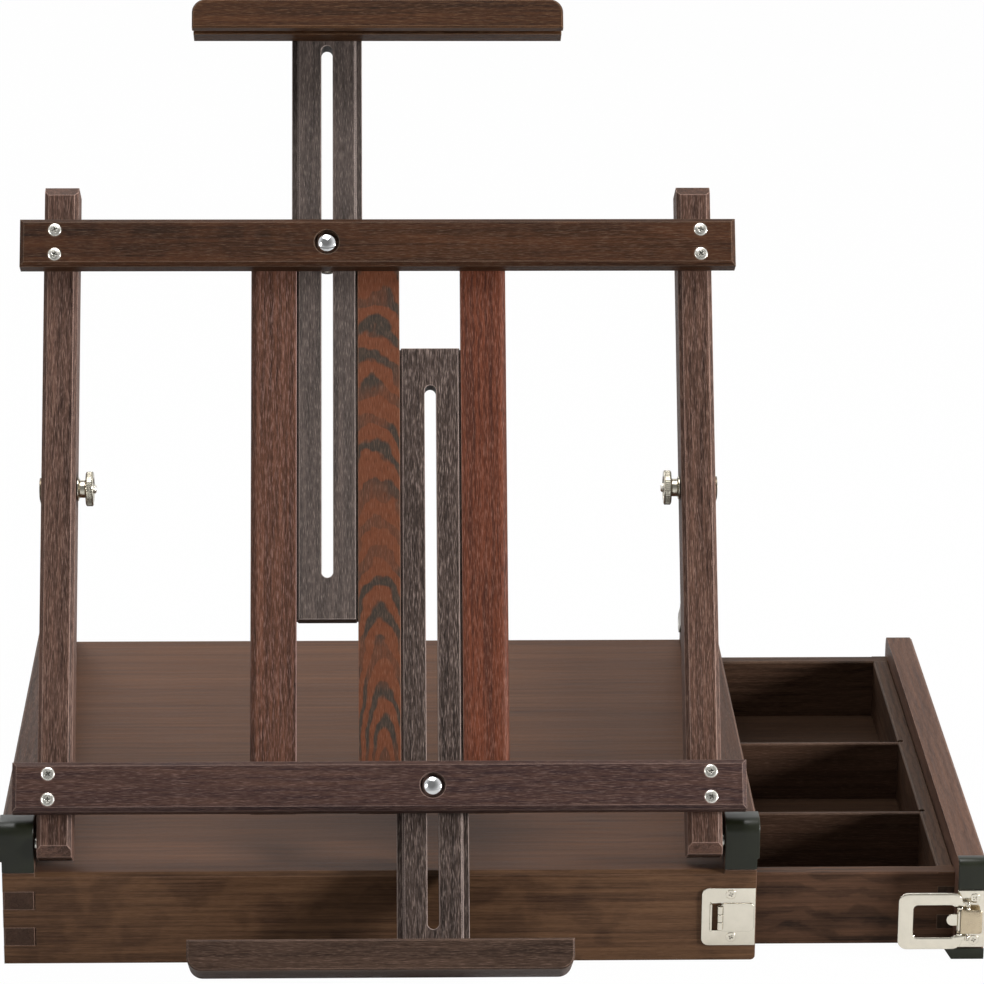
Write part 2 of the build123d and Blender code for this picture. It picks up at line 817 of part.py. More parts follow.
groove_out = (tongue_back - tongue_play, tongue_front + tongue_play)
guide_ups = (lower_rail_up - rail_height / 2 + guide_end_inset, upper_rail_up + rail_height / 2 - guide_end_inset)
for centre, name in zip(guide_centres, ("left_guide", "centre_guide", "right_guide")):
    width = side_guide_width if centre else centre_guide_width
    with BuildPart() as guide:
        board((centre - width / 2, centre + width / 2), guide_ups, (guide_back, leg_front))
        front_edges = guide.edges().filter_by(frame_up).group_by(frame_out)[-1].sort_by(Axis.X)
        if centre:
            fillet(front_edges[0 if centre < 0 else -1], guide_round)
        for lane in (-lane_x, lane_x):
            if abs(lane - centre) < mast_lane:
                half_groove = mast_lane / 2 + tongue_reach + groove_spare
                board((lane - half_groove, lane + half_groove), guide_ups, groove_out, Mode.SUBTRACT)
    finish(guide, name)

with BuildPart() as rail_screws:
    for plane in rail_screw_planes:
        screw_head(plane)
finish(rail_screws, "rail_screws")

# Masts: a tongued board with a long slot each, and a U-shaped bar screwed across its front.
nut_front = mast_back - mast_face_gap - nut_gap
bolt_end = nut_front - rear_nut_length - bolt_spare

with BuildPart() as mast_bolts:
    for x, up in mast_bolt_points:
        head_seat = frame_front(x, up, rail_front - head_recess_depth)
        rod(head_seat, bolt_diameter / 2, bolt_end - rail_front + head_recess_depth)
        cone(head_seat, 0, bolt_head_height, bolt_head_diameter / 2, bolt_head_crown / 2)
finish(mast_bolts, "mast_bolts")

with BuildPart() as side_bolts:
    for sign in (-1, 1):
        rod(
            Plane(origin=(sign * leg_outer, side_bolt_y, side_bolt_z), z_dir=(-sign, 0, 0)),
            side_bolt_diameter / 2,
            leg_width + nut_gap + side_nut_length + bolt_spare,
        )
finish(side_bolts, "stay_clamp_bolts")


def thumb_nut(plane, length):
    """A turned thumb nut: a neck and a disc with flats round its rim."""
    disc_start = length - nut_disc_thickness
    rod(plane, nut_neck_diameter / 2, disc_start)
    with BuildSketch(plane.offset(disc_start)) as disc:
        RegularPolygon(nut_disc_diameter / 2, nut_disc_sides)
    extrude(disc.sketch, amount=nut_disc_thickness)


nut_list = [
    (
        Plane(origin=(sign * (leg_inner - nut_gap), side_bolt_y, side_bolt_z), z_dir=(-sign, 0, 0)),
        side_nut_length,
        side_bolt_diameter,
        name,
    )
    for sign, name in ((-1, "left_thumb_nut"), (1, "right_thumb_nut"))
] + [
    (frame_rear(x, up, nut_front), rear_nut_length, bolt_diameter, name)
    for (x, up), name in zip(mast_bolt_points, ("upper_mast_nut", "lower_mast_nut"))
]

for plane, length, bore, name in nut_list:
    with BuildPart() as nut:
        thumb_nut(plane, length)
        rod(plane, bore / 2 + nut_play, length, Mode.SUBTRACT)
    finish(nut, name)

masts = (
    ("upper_mast", -lane_x, upper_mast_foot, upper_mast_head, upper_slot_foot, upper_slot_head),
    ("lower_mast", lane_x, lower_mast_foot, lower_mast_head, lower_slot_foot, lower_slot_head),
)
bars = (("canvas_clamp", clamp_underside, 1), ("canvas_tray", tray_top, -1))
for name, x, foot, head, slot_foot, slot_head in masts:
    face_half = mast_lane / 2 - mast_play
    with BuildPart() as mast:
        board((x - face_half, x + face_half), (foot, head), (mast_back, mast_front))
        chamfer(mast.edges().filter_by(frame_up), mast_edge_chamfer)
        board(
            (x - mast_lane / 2 - tongue_reach, x + mast_lane / 2 + tongue_reach),
            (foot, head),
            (tongue_back, tongue_front),
        )
        with BuildSketch(frame_plane.offset(mast_back)):
            with Locations((x, (slot_foot + slot_head) / 2)):
                SlotOverall(slot_head - slot_foot, slot_width, rotation=90)
        extrude(amount=mast_thickness, mode=Mode.SUBTRACT)
    finish(mast, name)

for name, edge, direction in bars:
    back = edge + direction * bar_height
    with BuildPart() as bar:
        with BuildSketch(frame_plane.offset(mast_front)) as face:
            with Locations((0, (edge + back) / 2)):
                Rectangle(bar_length, bar_height)
            for end in (-bar_length / 2, bar_length / 2):
                fillet(corner(face, end, back), bar_corner_radius)
        extrude(amount=bar_depth)
        chamfer(bar.faces().sort_by(frame_out)[-1].edges(), bar_edge_chamfer)
        board(
            (-bar_length, bar_length),
            span(edge, back - direction * bar_web),
            (mast_front + bar_rear_leg, mast_front + bar_rear_leg + canvas_channel),
            Mode.SUBTRACT,
        )
        board(
            (-bar_length, bar_length),
            span(edge, edge + direction * bar_leg_drop),
            (mast_front, mast_front + bar_rear_leg),
            Mode.SUBTRACT,
        )
    finish(bar, name)

# Slotted stays between the legs and the raised sides, each on a rivet at the back.
for sign, name in ((-1, "left_stay"), (1, "right_stay")):
    near = min(sign * stay_inner, sign * stay_outer)
    along = (0, -cos(stay_rise), sin(stay_rise))
    blade_plane = Plane(origin=(near, stay_pivot_y, pivot_z), x_dir=along, z_dir=(1, 0, 0))
    head_plane = Plane(origin=(sign * stay_inner, stay_pivot_y, pivot_z), z_dir=(sign, 0, 0))
    with BuildPart() as stay:
        with BuildSketch(blade_plane):
            with Locations((stay_reach / 2, 0)):
                SlotCenterToCenter(stay_reach, stay_width)
            with Locations(((stay_folded_reach + stay_reach) / 2, 0)):
                SlotCenterToCenter(stay_reach - stay_folded_reach, stay_slot_width, mode=Mode.SUBTRACT)
        extrude(amount=stay_thickness)
        rod(head_plane, stay_rivet_diameter / 2 + stay_rivet_play, stay_thickness, Mode.SUBTRACT)
    finish(stay, name)
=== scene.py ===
import math

import bpy
from mathutils import Matrix, Vector


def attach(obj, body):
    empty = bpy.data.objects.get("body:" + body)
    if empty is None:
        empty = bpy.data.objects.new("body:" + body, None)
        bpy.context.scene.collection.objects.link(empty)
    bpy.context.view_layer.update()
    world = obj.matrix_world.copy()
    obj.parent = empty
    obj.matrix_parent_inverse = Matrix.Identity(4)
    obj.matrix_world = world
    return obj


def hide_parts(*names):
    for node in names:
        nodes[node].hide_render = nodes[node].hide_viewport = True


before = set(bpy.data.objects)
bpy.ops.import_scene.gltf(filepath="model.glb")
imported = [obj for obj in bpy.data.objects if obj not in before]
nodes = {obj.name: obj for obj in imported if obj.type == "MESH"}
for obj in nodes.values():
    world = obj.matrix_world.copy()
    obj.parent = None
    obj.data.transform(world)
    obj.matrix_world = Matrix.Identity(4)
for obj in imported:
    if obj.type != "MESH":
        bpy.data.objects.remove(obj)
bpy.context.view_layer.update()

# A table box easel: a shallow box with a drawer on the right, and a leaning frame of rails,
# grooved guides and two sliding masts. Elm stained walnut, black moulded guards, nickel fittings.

MM = 0.001

# The leaning frame's own axes: x across, y up the legs, z out towards the painter.
LEAN = math.radians(30.5)
PIVOT = Vector((0, -174.9, 65.4)) * MM
FRAME_AXES = Matrix.Translation(PIVOT) @ Matrix(
    (
        (1, 0, 0, 0),
        (0, math.sin(LEAN), -math.cos(LEAN), 0),
        (0, math.cos(LEAN), math.sin(LEAN), 0),
        (0, 0, 0, 1),
    )
)

# Places on the frame, in mm
RAIL_UPS = (26.6, 323.4)  # middles of the lower and the upper rail
RAIL_FRONT = 25.4
RAIL_SCREW_X = 174.6
RAIL_SCREW_RISE = 6.8  # above and below a rail's middle
GUIDE_X = 56.6
GUIDE_BACK = 1.4
MAST_X = 27.8
MAST_BACK = 2.1
BOLT_TIP = -9.3  # of a mast bolt, behind the frame
STAY_BOLT_UP = 192.5


# Camera and lights

def aim(place, yaw, pitch, roll):
    """The matrix of a camera at a place, turned left by yaw and down by pitch, in degrees."""
    return (
        Matrix.Translation(place)
        @ Matrix.Rotation(math.radians(yaw), 4, "Z")
        @ Matrix.Rotation(math.radians(90 - pitch), 4, "X")
        @ Matrix.Rotation(math.radians(roll), 4, "Z")
    )


camera_data = bpy.data.cameras.new("camera")
camera_data.sensor_width = 36
camera_data.lens = 167.84
camera = bpy.data.objects.new("camera", camera_data)
camera.matrix_world = aim(Vector((-7.3, -2434.5, 990.4)) * MM, -1.66, 17.894, 0.36)
bpy.context.scene.collection.objects.link(camera)
bpy.context.scene.camera = camera


def softbox(name, place, target, width, height, watts):
    """A rectangular soft lamp that faces a target."""
    lamp = bpy.data.lights.new(name, "AREA")
    lamp.shape = "RECTANGLE"
    lamp.size = width
    lamp.size_y = height
    lamp.energy = watts
    holder = bpy.data.objects.new(name, lamp)
    holder.matrix_world = Matrix.Translation(place) @ (
        (Vector(target) - Vector(place)).to_track_quat("-Z", "Y").to_matrix().to_4x4()
    )
    bpy.context.scene.collection.objects.link(holder)


softbox("key_softbox", (2.4, -0.95, 0.7), (0, -0.1, 0.15), 0.5, 0.5, 108)
softbox("overhead_softbox", (-0.1, -0.2, 2.2), (0, 0, 0), 1.4, 1.2, 36)
softbox("left_softbox", (-1.9, -1.5, 1.1), (0, -0.1, 0.2), 0.6, 1.0, 14)
softbox("rear_softbox", (-1.3, 2.1, 1.7), (0, 0, 0.1), 1.0, 1.0, 26)


# Materials

def linear(code):
    """An sRGB hex colour as linear red, green, blue and alpha."""
    parts = [int(code[i : i + 2], 16) / 255 for i in (1, 3, 5)]
    return (*(c / 12.92 if c <= 0.04045 else ((c + 0.055) / 1.055) ** 2.4 for c in parts), 1.0)


def add_node(tree, kind, settings=None, inputs=None):
    """A node with its settings and inputs. An input given as a socket is linked."""
    node = tree.nodes.new(kind)
    for name, value in (settings or {}).items():
        setattr(node, name, value)
    for name, value in (inputs or {}).items():
        if isinstance(value, bpy.types.NodeSocket):
            tree.links.new(value, node.inputs[name])
        else:
            node.inputs[name].default_value = value
    return node


def start_material(name):
    """An empty node material, and the object's own coordinates."""
    material = bpy.data.materials.new(name)
    material.use_nodes = True
    material.node_tree.nodes.clear()
    place = add_node(material.node_tree, "ShaderNodeTexCoord").outputs["Object"]
    return material, material.node_tree, place


def finish_material(material, tree, inputs):
    """Close a material with one Principled shader."""
    shader = add_node(tree, "ShaderNodeBsdfPrincipled", inputs=inputs)
    add_node(tree, "ShaderNodeOutputMaterial", inputs={"Surface": shader.outputs[0]})
    material.diffuse_color = linear("#7c6559")
    return material


def rounded_arris(tree, radius_mm):
    """The normal of an edge rounded to a radius, and how far it still agrees with the face's."""
    arris = add_node(
        tree, "ShaderNodeBevel", {"samples": 6}, {"Radius": radius_mm * MM}
    ).outputs[0]
    face = add_node(tree, "ShaderNodeNewGeometry").outputs["Normal"]
    turn = add_node(
        tree, "ShaderNodeVectorMath", {"operation": "DOT_PRODUCT"}, {0: arris, 1: face}
    ).outputs["Value"]
    return arris, turn


# How a board's fibres are laid along the pattern's own z
ALONG_X = (0, -math.pi / 2, 0)
ALONG_Y = (math.pi / 2, 0, 0)
UP_FRAME = (LEAN, 0, 0)


def stained_elm(name, grain, dark, light, cut, growth, bite, rub_and_highlight):
    """Elm, planed, stained walnut and rubbed with a thin satin oil.

    The stain goes grey-black in the late wood and stays red-brown in the early wood, the cut
    ends of the fibres carry painted highlights as pale specks where they catch the light, and every
    handled arris is a thin pale line, partly rubbed wear and partly a painted highlight.
    Bite is how far the grain was left open: little on the case, wide on the frame.
    """
    rings, ring_mm, arch = growth
    material, tree, place = start_material(name)
    board = add_node(
        tree, "ShaderNodeMapping", inputs={"Vector": place, "Rotation": grain, "Location": cut}
    ).outputs[0]
    # fibres 0.9 mm wide that run for about 45 mm
    long_board = add_node(
        tree, "ShaderNodeMapping", inputs={"Vector": board, "Scale": (1, 1, 0.02)}
    ).outputs[0]
    fibres = add_node(
        tree,
        "ShaderNodeTexNoise",
        inputs={"Vector": long_board, "Scale": 1 / (0.9 * MM), "Detail": 3.0, "Roughness": 0.6},
    ).outputs[0]
    # fibre ends 0.3 mm wide and 5 mm long, a little coarser than the real ones so that they show
    short_board = add_node(
        tree, "ShaderNodeMapping", inputs={"Vector": board, "Scale": (1, 1, 0.06)}
    ).outputs[0]
    speck_noise = add_node(
        tree,
        "ShaderNodeTexNoise",
        inputs={"Vector": short_board, "Scale": 1 / (0.3 * MM), "Detail": 2.0, "Roughness": 0.6},
    ).outputs[0]
    painted_speck_highlights = add_node(
        tree, "ShaderNodeMapRange", inputs={0: speck_noise, 1: 0.54, 2: 0.68, 3: 0.0, 4: 1.0}
    ).outputs[0]
    pores = add_node(
        tree, "ShaderNodeMapRange", inputs={0: speck_noise, 1: 0.46, 2: 0.32, 3: 0.0, 4: 1.0}
    ).outputs[0]
    # growth rings round a pith beside the board that leans across it, for arches on its face
    leaning_board = add_node(
        tree,
        "ShaderNodeMapping",
        inputs={
            "Vector": board,
            "Rotation": (arch, 0.15 * arch, 0),
            "Location": (11 * MM, 37 * MM, 0),
        },
    ).outputs[0]
    ring_bands = add_node(
        tree,
        "ShaderNodeTexWave",
        {"wave_type": "RINGS", "rings_direction": "Z", "wave_profile": "SIN"},
        {
            "Vector": leaning_board,
            "Scale": math.tau / 20 / (ring_mm * MM),
            "Distortion": 6.5,
            "Detail": 3.0,
            "Detail Scale": 0.5,
        },
    ).outputs[1]
    early_wood = add_node(
        tree, "ShaderNodeMapRange", inputs={0: ring_bands, 1: 0.12, 2: 0.62, 3: 0.0, 4: 1.0}
    ).outputs[0]
    # a few fat years, 45 mm along the board, with little late wood between them
    fat_years = add_node(
        tree,
        "ShaderNodeTexNoise",
        inputs={"Vector": leaning_board, "Scale": 1 / (45 * MM), "Detail": 1.0},
    ).outputs[0]
    fat = add_node(
        tree, "ShaderNodeMapRange", inputs={0: fat_years, 1: 0.5, 2: 0.62, 3: 0.0, 4: 0.65}
    ).outputs[0]
    early_wood = add_node(
        tree, "ShaderNodeMath", {"operation": "MAXIMUM"}, {0: early_wood, 1: fat}
    ).outputs[0]
    # slow shifts of tone from end to end
    cloud = add_node(
        tree,
        "ShaderNodeTexNoise",
        inputs={"Vector": long_board, "Scale": 1 / (9 * MM), "Detail": 2.0},
    ).outputs[0]
    # streaks 2.6 mm wide that wander along the board
    bands = add_node(
        tree,
        "ShaderNodeTexNoise",
        inputs={"Vector": long_board, "Scale": 1 / (2.6 * MM), "Detail": 2.0, "Distortion": 0.4},
    ).outputs[0]
    streaks = add_node(
        tree, "ShaderNodeMix", {"data_type": "FLOAT"}, {0: 0.45, 2: fibres, 3: bands}
    ).outputs[0]
    figure = add_node(
        tree, "ShaderNodeMix", {"data_type": "FLOAT"}, {0: rings, 2: streaks, 3: early_wood}
    ).outputs[0]
    tone = add_node(
        tree, "ShaderNodeMix", {"data_type": "FLOAT"}, {0: 0.25, 2: figure, 3: cloud}
    ).outputs[0]
    stain_share = add_node(
        tree, "ShaderNodeMapRange", inputs={0: tone, 1: 0.34, 2: 0.66, 3: 0.0, 4: 1.0}
    ).outputs[0]
    stain = add_node(
        tree,
        "ShaderNodeMix",
        {"data_type": "RGBA"},
        {0: stain_share, 6: linear(dark), 7: linear(light)},
    ).outputs[2]
    pore_share = add_node(
        tree, "ShaderNodeMath", {"operation": "MULTIPLY"}, {0: pores, 1: 0.75 * bite}
    ).outputs[0]
    pored = add_node(
        tree,
        "ShaderNodeMix",
        {"data_type": "RGBA"},
        {0: pore_share, 6: stain, 7: linear("#0c0704")},
    ).outputs[2]
    # painted highlights: pale specks where the fibre ends catch the light, in the pale edge colour
    speck_highlight_share = add_node(
        tree, "ShaderNodeMath", {"operation": "MULTIPLY"}, {0: painted_speck_highlights, 1: 0.42 * bite}
    ).outputs[0]
    flecked = add_node(
        tree,
        "ShaderNodeMix",
        {"data_type": "RGBA"},
        {0: speck_highlight_share, 6: pored, 7: linear(rub_and_highlight)},
    ).outputs[2]
    # sawn ends drink more stain than the sides
    facing = add_node(
        tree,
        "ShaderNodeMapping",
        {"vector_type": "NORMAL"},
        {"Vector": add_node(tree, "ShaderNodeTexCoord").outputs["Normal"], "Rotation": grain},
    ).outputs[0]
    along = add_node(
        tree, "ShaderNodeVectorMath", {"operation": "DOT_PRODUCT"}, {0: facing, 1: (0, 0, 1)}
    ).outputs["Value"]
    sawn = add_node(tree, "ShaderNodeMath", {"operation": "ABSOLUTE"}, {0: along}).outputs[0]
    end_grain = add_node(
        tree, "ShaderNodeMapRange", inputs={0: sawn, 1: 0.75, 2: 0.95, 3: 0.0, 4: 0.5}
    ).outputs[0]
    flecked = add_node(
        tree,
        "ShaderNodeMix",
        {"data_type": "RGBA"},
        {0: end_grain, 6: flecked, 7: linear("#1b1610")},
    ).outputs[2]
    # a rounded arris of 0.8 mm, pale where it turns from the face: partly rubbed wear, partly
    # painted highlight
    arris, turn = rounded_arris(tree, 0.8)
    edge_wear_and_highlight = add_node(
        tree, "ShaderNodeMapRange", inputs={0: turn, 1: 0.998, 2: 0.93, 3: 0.0, 4: 2.0 * bite}
    ).outputs[0]
    edge_rub_and_highlight = add_node(
        tree, "ShaderNodeMath", {"operation": "MULTIPLY"}, {0: edge_wear_and_highlight, 1: fibres}
    ).outputs[0]
    # painted highlight and wear: the arris mask mixes the board toward its pale edge colour
    colour = add_node(
        tree,
        "ShaderNodeMix",
        {"data_type": "RGBA"},
        {0: edge_rub_and_highlight, 6: flecked, 7: linear(rub_and_highlight)},
    ).outputs[2]
    roughness = add_node(
        tree,
        "ShaderNodeMapRange",
        inputs={0: fibres, 1: 0.3, 2: 0.7, 3: 0.42, 4: 0.6},
    ).outputs[0]
    relief = add_node(
        tree, "ShaderNodeMath", {"operation": "SUBTRACT"}, {0: fibres, 1: pores}
    ).outputs[0]
    bump = add_node(
        tree,
        "ShaderNodeBump",
        inputs={"Strength": 0.4, "Distance": 0.12 * MM, "Height": relief, "Normal": arris},
    ).outputs[0]
    return finish_material(
        material,
        tree,
        {
            "Base Color": colour,
            "Roughness": roughness,
            "IOR": 1.45,
            "Specular IOR Level": 0.12,
            "Normal": bump,
        },
    )


def plated(name, base, rough, brushed_mm=0.25, stretch=(1, 1, 0.06), depth=0.01, mottle=0.10):
    """Steel pressed or turned, then plated: even, with faint tool lines and handling marks."""
    material, tree, place = start_material(name)
    lines = add_node(
        tree, "ShaderNodeMapping", inputs={"Vector": place, "Scale": stretch}
    ).outputs[0]
    brush = add_node(
        tree,
        "ShaderNodeTexNoise",
        inputs={"Vector": lines, "Scale": 1 / (brushed_mm * MM), "Detail": 2.0},
    ).outputs[0]
    smear = add_node(
        tree, "ShaderNodeTexNoise", inputs={"Vector": place, "Scale": 1 / (4 * MM), "Detail": 3.0}
    ).outputs[0]
    marks = add_node(
        tree, "ShaderNodeMix", {"data_type": "FLOAT"}, {0: 0.5, 2: brush, 3: smear}
    ).outputs[0]
    roughness = add_node(
        tree,
        "ShaderNodeMapRange",
        inputs={0: marks, 1: 0.3, 2: 0.7, 3: max(rough - mottle, 0.04), 4: rough + mottle},
    ).outputs[0]
    dull = linear(base)
    tone = add_node(
        tree,
        "ShaderNodeMix",
        {"data_type": "RGBA"},
        {0: smear, 6: [c * 0.82 for c in dull[:3]] + [1.0], 7: dull},
    ).outputs[2]
    # painted shade: dark seams and recesses, within 0.9 mm of a corner
    open_sky = add_node(
        tree, "ShaderNodeAmbientOcclusion", {"samples": 6, "inside": False}, {"Distance": 0.9 * MM}
    ).outputs["AO"]
    painted_recess_shade = add_node(
        tree, "ShaderNodeMapRange", inputs={0: open_sky, 1: 0.35, 2: 0.85, 3: 0.85, 4: 0.0}
    ).outputs[0]
    tone = add_node(
        tree, "ShaderNodeMix", {"data_type": "RGBA"}, {0: painted_recess_shade, 6: tone, 7: linear("#1d1a15")}
    ).outputs[2]
    # painted reflection: the rounded rim of a stamping is painted dark, as if it turned to the dark
    # part of the room
    arris, turn = rounded_arris(tree, 0.4)
    rim = add_node(
        tree, "ShaderNodeMapRange", inputs={0: turn, 1: 0.99, 2: 0.8, 3: 0.0, 4: 0.7}
    ).outputs[0]
    tone = add_node(
        tree, "ShaderNodeMix", {"data_type": "RGBA"}, {0: rim, 6: tone, 7: linear("#4d473b")}
    ).outputs[2]
    bump = add_node(
        tree,
        "ShaderNodeBump",
        inputs={"Strength": 0.3, "Distance": depth * MM, "Height": brush, "Normal": arris},
    ).outputs[0]
    return finish_material(
        material,
        tree,
        {"Base Color": tone, "Metallic": 1.0, "Roughness": roughness, "Normal": bump},
    )


def moulded_plastic(name, base):
    """Polypropylene moulded with a spark-eroded grain: soft highlights, corners greyer with wear
    and a painted highlight.
    """
    material, tree, place = start_material(name)
    # grain of 0.4 mm
    grain = add_node(
        tree, "ShaderNodeTexNoise", inputs={"Vector": place, "Scale": 1 / (0.4 * MM), "Detail": 2.0}
    ).outputs[0]
    flow = add_node(
        tree, "ShaderNodeTexNoise", inputs={"Vector": place, "Scale": 1 / (9 * MM), "Detail": 2.0}
    ).outputs[0]
    # rounded corners painted greyer: partly wear, partly painted highlight
    arris, turn = rounded_arris(tree, 0.8)
    edge_wear_and_highlight = add_node(
        tree, "ShaderNodeMapRange", inputs={0: turn, 1: 0.995, 2: 0.8, 3: 0.0, 4: 0.45}
    ).outputs[0]
    body = add_node(
        tree,
        "ShaderNodeMix",
        {"data_type": "RGBA"},
        {0: flow, 6: linear(base), 7: linear("#1c1e12")},
    ).outputs[2]
    colour = add_node(
        tree, "ShaderNodeMix", {"data_type": "RGBA"}, {0: edge_wear_and_highlight, 6: body, 7: linear("#4a4b42")}
    ).outputs[2]
    roughness = add_node(
        tree, "ShaderNodeMapRange", inputs={0: flow, 1: 0.3, 2: 0.7, 3: 0.28, 4: 0.4}
    ).outputs[0]
    bump = add_node(
        tree,
        "ShaderNodeBump",
        inputs={"Strength": 0.25, "Distance": 0.05 * MM, "Height": grain, "Normal": arris},
    ).outputs[0]
    return finish_material(
        material,
        tree,
        {
            "Base Color": colour,
            "Roughness": roughness,
            "IOR": 1.49,
            "Specular IOR Level": 0.3,
            "Normal": bump,
        },
    )


# How the boards grew: share of the rings in the figure, ring width in mm, lean of the pith
SOLID = (0.1, 4.0, 0.02)
WIDE = (0.1, 5.0, 0.02)
PLY = (0.06, 6.0, 0.01)
DRAWER = (0.15, 4.0, 0.02)
FINE = (0.08, 3.4, 0.02)
GUIDE = (0.1, 3.0, 0.02)
ARCHED = (0.6, 3.6, 0.2)
MAST = (0.08, 3.2, 0.02)

# Every board is cut from its own place in the tree and takes the stain in its own way.
# node: fibres, late wood, early wood, cut, growth, bite, colour of rubbed edges and painted
# highlights
BOARDS = {
    "case_left_side": (ALONG_Y, "#241710", "#553c30", (0.3, 0.1, 0.0), SOLID, 0.6, "#8f7566"),
    "case_front_wall": (ALONG_X, "#2b1c14", "#614631", (0.0, 0.5, 0.2), WIDE, 0.3, "#7d6150"),
    "case_back_wall": (ALONG_X, "#33211a", "#553b2a", (0.4, 0.7, 0.1), WIDE, 0.3, "#7d6150"),
    "case_right_rail": (ALONG_Y, "#241710", "#553c30", (0.8, 0.2, 0.3), SOLID, 0.6, "#8f7566"),
    "case_top_panel": (ALONG_X, "#3b2519", "#60412d", (0.2, 0.9, 0.0), PLY, 0.2, "#8c6e5a"),
    "case_bottom_panel": (ALONG_X, "#3c2a20", "#5c4332", (0.6, 0.3, 0.4), PLY, 0.3, "#8c6e5a"),
    "drawer_front_wall": (ALONG_X, "#1d130c", "#523929", (0.1, 0.4, 0.6), DRAWER, 0.25, "#7a5a48"),
    "drawer_back_wall": (ALONG_X, "#251810", "#4b3629", (0.9, 0.6, 0.2), DRAWER, 0.4, "#7a6350"),
    "drawer_inner_end": (ALONG_Y, "#251810", "#4b3629", (0.5, 0.8, 0.7), DRAWER, 0.4, "#7a6350"),
    "drawer_outer_end": (ALONG_Y, "#251810", "#4b3629", (0.7, 0.1, 0.9), DRAWER, 0.4, "#7a6350"),
    "drawer_bottom": (ALONG_X, "#1e130d", "#38271b", (0.3, 0.7, 0.5), PLY, 0.3, "#6b5444"),
    "drawer_divider_front": (ALONG_X, "#2c1f17", "#4e382b", (0.2, 0.2, 0.8), PLY, 0.4, "#8a7060"),
    "drawer_divider_rear": (ALONG_X, "#2c1f17", "#4e382b", (0.8, 0.8, 0.3), PLY, 0.4, "#8a7060"),
    "drawer_face_panel": (ALONG_Y, "#38261f", "#654a3c", (0.4, 0.3, 0.1), SOLID, 0.3, "#94796a"),
    "left_leg": (UP_FRAME, "#1f1410", "#5f463b", (0.6, 0.9, 0.0), FINE, 0.95, "#a08478"),
    "right_leg": (UP_FRAME, "#1f130e", "#5c4236", (0.1, 0.6, 0.3), FINE, 0.95, "#a08478"),
    "upper_rail": (ALONG_X, "#160b05", "#432715", (0.5, 0.2, 0.4), FINE, 0.6, "#7a6656"),
    "lower_rail": (ALONG_X, "#20161a", "#4b352c", (0.9, 0.5, 0.8), FINE, 0.7, "#8d766c"),
    "left_guide": (UP_FRAME, "#261812", "#613f30", (0.3, 0.4, 0.6), GUIDE, 0.9, "#a08078"),
    "centre_guide": (UP_FRAME, "#332c26", "#5b3422", (-0.017, 0.179, 0.1), ARCHED, 0.6, "#96735f"),
    "right_guide": (UP_FRAME, "#2a1712", "#643421", (0.7, 0.7, 0.5), GUIDE, 0.8, "#a07868"),
    "upper_mast": (UP_FRAME, "#292523", "#564b46", (0.2, 0.8, 0.9), MAST, 0.8, "#a1928b"),
    "lower_mast": (UP_FRAME, "#17120f", "#4a3d37", (0.8, 0.4, 0.2), MAST, 1.2, "#9c8a82"),
    "canvas_clamp": (ALONG_X, "#1a0e07", "#422714", (0.1, 0.3, 0.7), FINE, 0.6, "#82654d"),
    "canvas_tray": (ALONG_X, "#201610", "#46352b", (0.6, 0.6, 0.6), FINE, 0.6, "#8a7163"),
}
# walnut-stained elm: dark boards, streaked red-brown to grey-black, with pale edges of rubbed wear
# and painted highlight
wood = {node: stained_elm(f"walnut_stained_elm_{node}", *cut) for node, cut in BOARDS.items()}

# nickel over steel: the warm, near-mirror white of the plates and the loop
bright_nickel = plated("bright_nickel_plate", "#e6dfcf", 0.14)
# brushed across: the lever stands apart from its plate as a yellower, softer patch
satin_nickel = plated(
    "satin_nickel_plate", "#c8b89d", 0.30, brushed_mm=0.15, stretch=(0.06, 1, 1), depth=0.02
)
# clean and cold: the mast bolts' domes hold a small sharp picture of the room
chrome = plated("polished_chrome_plate", "#d9dadb", 0.08, mottle=0.03)
# bright and slightly frosted: the screw heads read as white dots on the rails
zinc = plated("zinc_plated_steel", "#f3f0e6", 0.26)
# lathe lines round a grey-white nut
turned_nickel = plated("turned_nickel_plate", "#d6d0c0", 0.20)
# rolled lengthways and browned: the stays stay quiet behind the legs
bronzed_steel = plated("bronzed_sheet_steel", "#75695a", 0.34, stretch=(1, 0.06, 1))
# greenish black with a broad soft shine on the rounded corners
guard_plastic = moulded_plastic("black_moulded_polypropylene", "#10120a")

FINISHES = {
    **wood,
    "left_corner_guard": guard_plastic,
    "right_corner_guard": guard_plastic,
    "face_upper_guard": guard_plastic,
    "face_lower_guard": guard_plastic,
    "catch_plate": bright_nickel,
    "latch_plate": bright_nickel,
    "latch_loop": bright_nickel,
    "latch_lever": satin_nickel,
    "mast_bolts": chrome,
    "rail_screws": zinc,
    "frame_pivot_pins": zinc,
    "stay_clamp_bolts": zinc,
    "stay_rivets": zinc,
    "left_stay": bronzed_steel,
    "right_stay": bronzed_steel,
    "left_thumb_nut": turned_nickel,
    "right_thumb_nut": turned_nickel,
    "upper_mast_nut": turned_nickel,
    "lower_mast_nut": turned_nickel,
}
for node, material in FINISHES.items():
    mesh = nodes[node].data
    mesh.materials.clear()
    mesh.materials.append(material)


# Turned, pressed and screwed fittings

def only(piece):
    """Leave this piece alone selected and active."""
    bpy.ops.object.select_all(action="DESELECT")
    piece.select_set(True)
    bpy.context.view_layer.objects.active = piece


